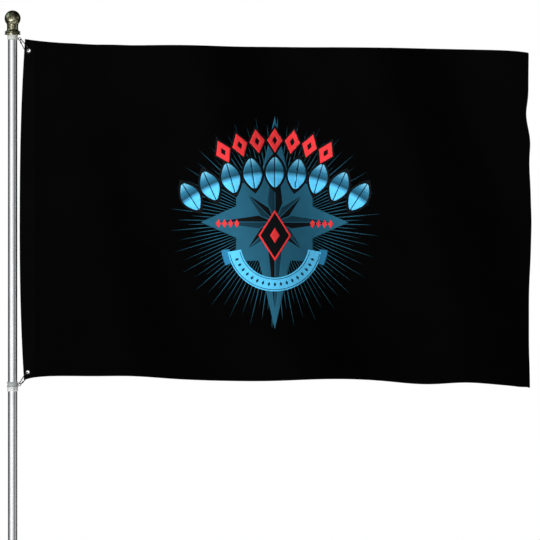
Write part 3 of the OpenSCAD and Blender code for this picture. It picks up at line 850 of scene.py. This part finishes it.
def stitches(name, runs):
    """Threads lying along runs of (points, outward normals); each stitch is a slim lozenge."""
    points, faces = [], []
    for line, outward in runs:
        lengths = np.concatenate([[0], np.cumsum(np.linalg.norm(np.diff(line, axis=0), axis=1))])
        for k in range(int(lengths[-1] / STITCH_PITCH)):
            middle = (k + 0.5) * STITCH_PITCH
            ends = np.array([[np.interp(middle + s * STITCH_L / 2, lengths, line[:, axis]) for axis in range(3)]
                             for s in (-1, 0, 1)])
            up = np.array([np.interp(middle, lengths, outward[:, axis]) for axis in range(3)])
            up /= np.linalg.norm(up)
            run = (ends[2] - ends[0]) / np.linalg.norm(ends[2] - ends[0])
            side = np.cross(run, up)
            first = len(points)
            points += [ends[0], ends[2]]
            points += [ends[1] + STITCH_R * (math.cos(a) * side + math.sin(a) * up)
                       for a in (2 * PI * q / STITCH_SIDES for q in range(STITCH_SIDES))]
            for q in range(STITCH_SIDES):
                a, b = first + 2 + q, first + 2 + (q + 1) % STITCH_SIDES
                faces += [(first, b, a), (first + 1, a, b)]
    return make_piece(name, points, faces, MATERIALS["thread_black"])


def cloth_run(x, z, lift):
    """A line on the cloth, and its outward normals."""
    line, further = on_cloth(x, z, lift), on_cloth(x, z, lift + math.copysign(NORMAL_STEP, lift))
    return line, (further - line) / NORMAL_STEP


def hem_runs(x, z):
    """The same seam on the cloth's front and on the back of the hem."""
    return [cloth_run(x, z, CLOTH_T / 2 + THREAD_LIFT), cloth_run(x, z, BACK_OF_HEM)]


seam_high_x, seam_low_x = (np.linspace(HEM_START_X, end - SEAM_END_GAP, SEAM_POINTS)
                           for end in (FLY_HIGH_X, FLY_LOW_X))
hem_stitches = stitches("hem_stitches", hem_runs(seam_high_x, edge_top(seam_high_x) - HEM_SEAM)
                        + hem_runs(seam_low_x, edge_bottom(seam_low_x) + HEM_SEAM))
across_joint(hem_stitches)

fly_shares = np.linspace(*FLY_SEAM_SHARES, 500)
fly_runs = []
for offset in FLY_SEAMS:
    seam = edge_fly(fly_shares) - offset
    low = edge_bottom(seam)
    fly_runs += hem_runs(seam, low + fly_shares * (edge_top(seam) - low))
fly_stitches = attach(stitches("fly_stitches", fly_runs), "flag_cloth")


def heading_runs():
    """Both sides of the band's straight seams, and of the one beside its fold."""
    runs = []
    z = np.linspace(HOIST_LOW_Z + HEADING_SEAM_GAP, HOIST_HIGH_Z - HEADING_SEAM_GAP, 600)
    for offset in (*HEADING_SEAMS, None):
        x = hoist_line(hoist_share(z)) + HOIST_SEAM if offset is None else np.full_like(z, offset)
        for side in (-1, 1):
            runs.append((heading_skin(side)(x, z), np.tile([0.0, side, 0.0], (len(z), 1))))
    return runs


heading_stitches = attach(stitches("heading_stitches", heading_runs()), "flag_hoist")


# ---- Print: a generic compass star with rays, leaves, lozenges and a plain swag ------------------------------

PRINT_X = 0.708
PRINT_Z = 1.313
PRINT_STEP = 0.004
SKY = srgb(92, 200, 245)
TEAL = srgb(34, 92, 114)
DEEP_TEAL = srgb(18, 54, 68)
INK = srgb(8, 12, 14)
RAY_TEAL = srgb(30, 80, 96)
SWAG_BLUE = srgb(44, 128, 168)
RED = srgb(240, 58, 60)


def spun(points, degrees):
    """Points (right, up) turned clockwise about the middle."""
    c, s = math.cos(math.radians(degrees)), math.sin(math.radians(degrees))
    return [(x * c + z * s, -x * s + z * c) for x, z in points]


def moved(points, right, up):
    return [(x + right, z + up) for x, z in points]


def lens(length, width, count=14):
    """A leaf shape standing on the middle: pointed at both ends."""
    side = [(width / 2 * math.sin(PI * k / count) ** 0.9, length * k / count) for k in range(count + 1)]
    return side + [(-x, z) for x, z in reversed(side[1:-1])]


def lozenge(width, height):
    return [(width / 2, 0), (0, height / 2), (-width / 2, 0), (0, -height / 2)]


def printed(name, shapes, material, depth):
    """Shapes printed through the cloth, each a list of loops round the print's middle, in metres.

    depth is how far their faces stand off the cloth's, which differs between shapes that lie on each other.
    """
    areas = [[moved(loop, PRINT_X, PRINT_Z) for loop in loops] for loops in shapes]
    skin = CLOTH_T / 2 + depth
    points, faces, walls = slab(areas, PRINT_STEP, layer(skin), layer(-skin))
    made = make_piece(name, points, faces, material, walls)
    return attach(made, "flag_cloth")


def star(reaches, waist):
    """A star with points of those lengths, evenly round from the top, and hollows between them."""
    points = []
    for k, reach in enumerate(reaches):
        points += spun([(0, reach)], 360 * k / len(reaches)) + spun([(0, waist)], 360 * (k + 0.5) / len(reaches))
    return points[::-1]


def outline_reach(outline, degrees):
    """How far a closed outline round the middle reaches at an angle, clockwise from the top."""
    turned_back = spun(outline, -degrees)
    for (x0, z0), (x1, z1) in zip(turned_back, turned_back[1:] + turned_back[:1]):
        if (x0 > 0) != (x1 > 0) and z0 + z1 > 0:
            return z0 + (z1 - z0) * x0 / (x0 - x1)
    return 0.0


STAR = star([0.288, 0.150, 0.200, 0.150] * 2, 0.112)
RAYS = 120
RAY_UNDERLAP = 0.004         # how far a ray starts inside the star's outline
RAY_REACH = (0.286, 0.238, 0.266, 0.228)
RAY_W = (0.0028, 0.0021, 0.0025, 0.0021)
ray_shapes = []
for k in range(RAYS):
    reach, width, turn = RAY_REACH[k % 4], RAY_W[k % 4], 360 * (k + 0.5) / RAYS
    start = outline_reach(STAR, turn) - RAY_UNDERLAP
    if reach - start > 0.02:
        belly = start + 0.3 * (reach - start)
        ray = [(-width * 0.3, start), (width * 0.3, start), (width / 2, belly), (0, reach), (-width / 2, belly)]
        ray_shapes.append([spun(ray, turn)])
print_rays = printed("print_rays", ray_shapes, printed_cloth("print_rays", plain(RAY_TEAL)), 0.00022)


def arch(count, radius, middle_up, spread_degrees):
    """Places and turns of marks evenly along an arc whose centre is middle_up above the print's middle."""
    for k in range(count):
        turn = -spread_degrees + 2 * spread_degrees * k / (count - 1)
        angle = math.radians(turn)
        yield radius * math.sin(angle), middle_up + radius * math.cos(angle), turn


def flat_print(name, shapes, colour, depth):
    return printed(name, shapes, printed_cloth(name, plain(colour)), depth)


# A filled star, and a dark compass rose on it with one half of each point lighter
print_star = flat_print("print_star", [[STAR]], TEAL, 0.00028)
ROSE_POINTS = [(0, 0.232, 0.040), (90, 0.152, 0.034), (180, 0.232, 0.040), (270, 0.152, 0.034)]
ROSE_POINTS += [(turn, 0.100, 0.030) for turn in (45, 135, 225, 315)]
ROSE_GAP = 0.0011
rose_dark, rose_light = [], []
for turn, reach, waist in ROSE_POINTS:
    half = [(ROSE_GAP, 0.006), (waist * 0.5, waist * 1.3), (ROSE_GAP, reach)]
    rose_dark.append([spun(half, turn)])
    rose_light.append([spun([(-x, z) for x, z in reversed(half)], turn)])
print_rose_dark = flat_print("print_rose_dark", rose_dark, INK, 0.00040)
print_rose_light = flat_print("print_rose_light", rose_light, DEEP_TEAL, 0.00040)

# An arch of leaves, each two halves with a vein between them, over dark backing shapes
LEAVES = 9
LEAF_L = 0.090
LEAF_W = 0.050
LEAF_ARC_R = 0.423
LEAF_ARC_UP = -0.288
LEAF_SPREAD = 32.5           # degrees each way from the top
LEAF_BANDS = [  # place along a leaf, from its stem; colour
    (0, SKY), (0.40, SKY), (0.54, srgb(24, 74, 94)), (0.72, srgb(44, 116, 146)), (1, srgb(126, 212, 242)),
]
VEIN = 0.0011
BACKING = 1.22
leaf_shapes, backing_shapes = [], []
for right, up, turn in arch(LEAVES, LEAF_ARC_R, LEAF_ARC_UP, LEAF_SPREAD):
    backing = lens(BACKING * LEAF_L, BACKING * LEAF_W)
    backing_shapes.append([moved(spun(moved(backing, 0, -BACKING * LEAF_L / 2), turn), right, up)])
    leaf = lens(LEAF_L, LEAF_W)
    half = [(max(x, VEIN), z) for x, z in leaf[1:len(leaf) // 2]]
    half = [(VEIN, half[0][1] * 0.6)] + half + [(VEIN, LEAF_L - half[0][1] * 0.6)]
    for side in (half, [(-x, z) for x, z in reversed(half)]):
        leaf_shapes.append([moved(spun(moved(side, 0, -LEAF_L / 2), turn), right, up)])


def leaf_colour(tree):
    """Bands across the arch: sky blue at the stems, dark teal at the waist, paler towards the tips."""
    where = add(tree, "TexCoord").outputs["Object"]
    flat = add(tree, "VectorMath", {0: where, 1: (1, 0, 1)}, operation="MULTIPLY").outputs[0]
    away = add(tree, "VectorMath", {0: flat, 1: (PRINT_X, 0, PRINT_Z + LEAF_ARC_UP)}, operation="DISTANCE")
    share = add(tree, "MapRange", {"Value": away.outputs["Value"], "From Min": LEAF_ARC_R - LEAF_L / 2,
                                   "From Max": LEAF_ARC_R + LEAF_L / 2})
    return ramp(tree, share.outputs[0], LEAF_BANDS)


print_leaves = printed("print_leaves", leaf_shapes, printed_cloth("print_leaves", leaf_colour), 0.00064)

# Red: an arch of lozenges, a row of small ones at each side, and an open one in the middle
MIDDLE_UP = -0.036
RED_ARCH = (7, 0.305, -0.083, 27)    # how many, radius, its centre's height, degrees each way
ROW_UP = -0.004
ROW_START = 0.102
ROW_PITCH = 0.0165
red_shapes = []
for right, up, turn in arch(*RED_ARCH):
    outer, inner = lozenge(0.042, 0.066), lozenge(0.013, 0.023)
    backing_shapes.append([moved(spun(lozenge(0.054, 0.086), turn), right, up)])
    red_shapes.append([moved(spun(loop, turn), right, up) for loop in (outer, inner)])
for side in (-1, 1):
    for k in range(4):
        red_shapes.append([moved(lozenge(0.014, 0.023), side * (ROW_START + ROW_PITCH * k), ROW_UP)])
red_shapes.append([moved(lozenge(0.088, 0.138), 0, MIDDLE_UP), moved(lozenge(0.077, 0.121), 0, MIDDLE_UP)])
red_shapes.append([moved(lozenge(0.026, 0.042), 0, MIDDLE_UP)])
backing_shapes.append([moved(lozenge(0.086, 0.135), 0, MIDDLE_UP)])
print_backing = flat_print("print_backing", backing_shapes, INK, 0.00052)
print_red = flat_print("print_red", red_shapes, RED, 0.00072)

# A plain hanging band with turned-back ends, two lines and a row of dots
SWAG_R = 0.110
SWAG_W = 0.037
SWAG_UP = -0.058
SWAG_ANGLE = 80
SWAG_LINE_W = 0.0017
SWAG_LINE_OFF = 0.014
SWAG_DOTS = 8                # on each side of the middle one
SWAG_DOT_TURN = 8.4


def band(radius, width, first, last, up):
    """A strip along a hanging arc, between two angles from straight down."""
    steps = 30
    turns = [math.radians(first + (last - first) * k / steps) for k in range(steps + 1)]
    lower = [((radius + width / 2) * math.sin(a), up - (radius + width / 2) * math.cos(a)) for a in turns]
    upper = [((radius - width / 2) * math.sin(a), up - (radius - width / 2) * math.cos(a)) for a in turns]
    return lower + upper[::-1]


fold_shapes = []
for side in (-1, 1):
    first, last = sorted((side * (SWAG_ANGLE - 14), side * (SWAG_ANGLE + 3)))    # just past the band's end
    fold_shapes.append([band(SWAG_R + 0.024, 0.022, first, last, SWAG_UP)])
print_swag_folds = flat_print("print_swag_folds", fold_shapes, SWAG_BLUE, 0.00052)
print_swag = flat_print("print_swag", [[band(SWAG_R, SWAG_W, -SWAG_ANGLE, SWAG_ANGLE, SWAG_UP)]], SKY, 0.00060)
line_shapes = [[band(SWAG_R + offset, SWAG_LINE_W, 3 - SWAG_ANGLE, SWAG_ANGLE - 3, SWAG_UP)]
               for offset in (-SWAG_LINE_OFF, SWAG_LINE_OFF)]
for k in range(-SWAG_DOTS, SWAG_DOTS + 1):
    dot = moved(lozenge(0.0075, 0.0125), 0, -SWAG_R)
    line_shapes.append([moved(spun(dot, -SWAG_DOT_TURN * k), 0, SWAG_UP)])
print_swag_line = flat_print("print_swag_line", line_shapes, DEEP_TEAL, 0.00072)


# ---- Floor ---------------------------------------------------------------------------------------------------

def make_floor():
    """A pale disc under the object."""
    radius = 2.4
    sides = 96
    points = [(VIEW_X, 0, 0)]
    for ring in (0.5, 1.0):
        points += [(VIEW_X + radius * ring * math.cos(2 * PI * k / sides),
                    radius * ring * math.sin(2 * PI * k / sides), 0) for k in range(sides)]
    faces = []
    for k in range(sides):
        after = (k + 1) % sides
        faces += [(0, 1 + k, 1 + after), (1 + k, 1 + sides + k, 1 + sides + after, 1 + after)]
    made, tree = new_material("floor_pale")
    clouds = noise(tree, 2.2, 4.0)
    grain = noise(tree, 380, 2.0)
    colour = mixed(tree, spread(tree, clouds, 0, 1), grey(0.80), grey(0.86))
    close(tree, grain, 0.0002, {"Base Color": colour, "Roughness": spread(tree, grain, 0.6, 0.8)}, {})
    mesh = bpy.data.meshes.new("floor")
    mesh.from_pydata(points, [], faces)
    dress(mesh, made)
    floor = bpy.data.objects.new("floor", mesh)
    scene.collection.objects.link(floor)


make_floor()

bpy.context.view_layer.update()
